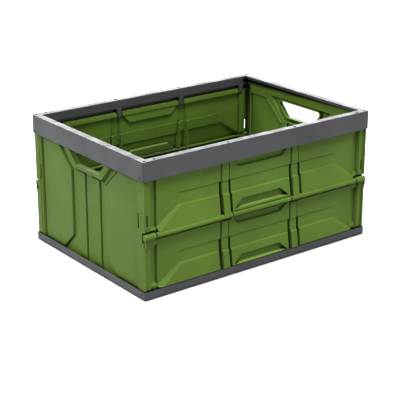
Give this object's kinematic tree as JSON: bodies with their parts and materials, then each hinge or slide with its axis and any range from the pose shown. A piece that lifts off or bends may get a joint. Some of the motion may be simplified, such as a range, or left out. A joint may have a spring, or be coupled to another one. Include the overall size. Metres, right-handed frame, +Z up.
{
  "type": "folding storage crate",
  "caption": "Rectangular folding storage crate with a channel-shaped top frame, ribbed long walls that fold at mid height and end walls with hand holes that swing inward.",
  "frame": {"origin": "centre of the underside, on the surface that the crate stands on", "axes": "+X along the crate's length, +Y across its width towards the rear long wall, +Z up"},
  "size_m": [0.5, 0.3556, 0.24],
  "materials": {
    "green_plastic": "matte moulded polypropylene, olive green, fine grain",
    "grey_plastic": "satin moulded polypropylene, dark grey",
    "rod_steel": "plain drawn steel wire"
  },
  "bodies": {
    "crate_body": {"base_tray": "grey_plastic", "top_frame": "grey_plastic", "front_lower_wall": "green_plastic", "front_upper_wall": "green_plastic", "rear_lower_wall": "green_plastic", "rear_upper_wall": "green_plastic", "front_bottom_hinge_rod": "rod_steel", "front_middle_hinge_rod": "rod_steel", "front_top_hinge_rod": "rod_steel", "rear_bottom_hinge_rod": "rod_steel", "rear_middle_hinge_rod": "rod_steel", "rear_top_hinge_rod": "rod_steel", "left_end_hinge_rod": "rod_steel", "right_end_hinge_rod": "rod_steel"},
    "left_end": {"left_end_wall": "green_plastic"},
    "right_end": {"right_end_wall": "green_plastic"}
  },
  "joints": [
    {"name": "left_end_swing", "type": "hinge", "parent": "crate_body", "child": "left_end", "pos_m": [-0.243, 0, 0.2283], "axis": [0, -1, 0], "range_deg": [0, 90]},
    {"name": "right_end_swing", "type": "hinge", "parent": "crate_body", "child": "right_end", "pos_m": [0.243, 0, 0.2283], "axis": [0, 1, 0], "range_deg": [0, 90]}
  ]
}
